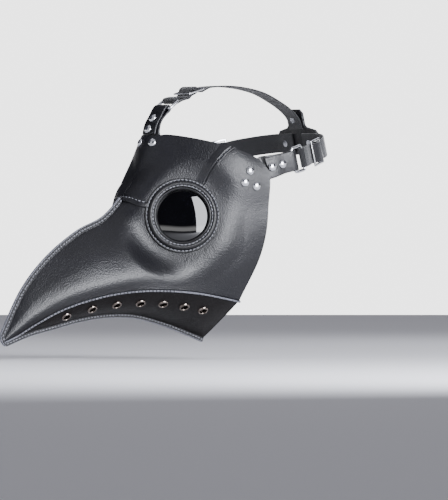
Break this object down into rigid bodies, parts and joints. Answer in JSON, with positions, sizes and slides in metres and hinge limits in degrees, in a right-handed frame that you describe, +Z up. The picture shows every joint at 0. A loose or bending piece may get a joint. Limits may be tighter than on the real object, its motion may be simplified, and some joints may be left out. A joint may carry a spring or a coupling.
{
  "type": "plague doctor mask",
  "caption": "Beaked face mask of stitched faux leather with round tinted eyepieces, vent eyelets under the beak and an elastic head harness on riveted tabs.",
  "frame": {"origin": "midway between the temples, level with the eyes, where the wearer's head sits in the mask", "axes": "+Z up, beak towards -Y, wearer's left towards +X; the part is symmetric about the plane X = 0"},
  "size_m": [0.1818, 0.3806, 0.2591],
  "materials": {
    "faux_leather": "semi-matte charcoal grain",
    "rim_leather": "smooth black grain",
    "bezel_plastic": "satin black",
    "lens_plastic": "gloss black tint, see-through only from inside",
    "gunmetal": "polished gunmetal",
    "nickel": "bright nickel plate",
    "elastic_webbing": "woven black elastic"
  },
  "bodies": {
    "mask": {"forehead_panel": "faux_leather", "cheek_panel_left": "faux_leather", "under_panel_left": "faux_leather", "eye_rim_left": "rim_leather", "lens_bezel_left": "bezel_plastic", "lens_left": "lens_plastic", "lens_seat_left": "rim_leather", "eyelet_left_1": "gunmetal", "eyelet_left_2": "gunmetal", "eyelet_left_3": "gunmetal", "eyelet_left_4": "gunmetal", "eyelet_left_5": "gunmetal", "eyelet_left_6": "gunmetal", "eyelet_left_7": "gunmetal", "temple_rivet_left_1": "nickel", "temple_rivet_left_2": "nickel", "temple_rivet_left_3": "nickel", "forehead_rivet_left": "nickel", "cheek_panel_right": "faux_leather", "under_panel_right": "faux_leather", "eye_rim_right": "rim_leather", "lens_bezel_right": "bezel_plastic", "lens_right": "lens_plastic", "lens_seat_right": "rim_leather", "eyelet_right_1": "gunmetal", "eyelet_right_2": "gunmetal", "eyelet_right_3": "gunmetal", "eyelet_right_4": "gunmetal", "eyelet_right_5": "gunmetal", "eyelet_right_6": "gunmetal", "eyelet_right_7": "gunmetal", "temple_rivet_right_1": "nickel", "temple_rivet_right_2": "nickel", "temple_rivet_right_3": "nickel", "forehead_rivet_right": "nickel", "tab_left": "faux_leather", "tab_rivet_left_1": "nickel", "tab_rivet_left_2": "nickel", "band_left": "elastic_webbing", "tab_right": "faux_leather", "tab_rivet_right_1": "nickel", "tab_rivet_right_2": "nickel", "band_right": "elastic_webbing", "tab_top": "faux_leather", "tab_rivet_top_1": "nickel", "tab_rivet_top_2": "nickel", "band_top": "elastic_webbing"},
    "loop_left": {"loop_left": "nickel"},
    "slider_left": {"slider_left": "nickel"},
    "loop_right": {"loop_right": "nickel"},
    "slider_right": {"slider_right": "nickel"},
    "loop_top": {"loop_top": "nickel"},
    "slider_top": {"slider_top": "nickel"},
    "harness": {"back_patch": "faux_leather", "patch_rivet_left": "nickel", "patch_rivet_right": "nickel", "patch_rivet_top": "nickel"}
  },
  "joints": [
    {"name": "loop_left_swing", "type": "hinge", "parent": "mask", "child": "loop_left", "pos_m": [0.08694, 0.02219, 0.05496], "axis": [0, -0.2419, 0.9703], "range_deg": [-18, 18], "deforming": ["band_left"]},
    {"name": "slider_left_adjust", "type": "slide", "parent": "loop_left", "child": "slider_left", "axis": [-0.4121, 0.8841, 0.2204], "range_m": [-0.006, 0.01], "deforming": ["band_left"]},
    {"name": "loop_right_swing", "type": "hinge", "parent": "mask", "child": "loop_right", "pos_m": [-0.08694, 0.02219, 0.05496], "axis": [0, 0.2419, -0.9703], "range_deg": [-18, 18], "deforming": ["band_right"]},
    {"name": "slider_right_adjust", "type": "slide", "parent": "loop_right", "child": "slider_right", "axis": [0.4121, 0.8841, 0.2204], "range_m": [-0.006, 0.01], "deforming": ["band_right"]},
    {"name": "loop_top_swing", "type": "hinge", "parent": "mask", "child": "loop_top", "pos_m": [0, -0.07527, 0.10669], "axis": [-1, 0, 0], "range_deg": [-18, 18], "deforming": ["band_top"]},
    {"name": "slider_top_adjust", "type": "slide", "parent": "loop_top", "child": "slider_top", "axis": [0, 0.9588, 0.2841], "range_m": [-0.006, 0.01], "deforming": ["band_top"]},
    {"name": "band_stretch", "type": "slide", "parent": "mask", "child": "harness", "axis": [0, 1, 0], "range_m": [0, 0.045], "stiffness_N_per_m": 60, "deforming": ["band_left", "band_right", "band_top"]}
  ]
}
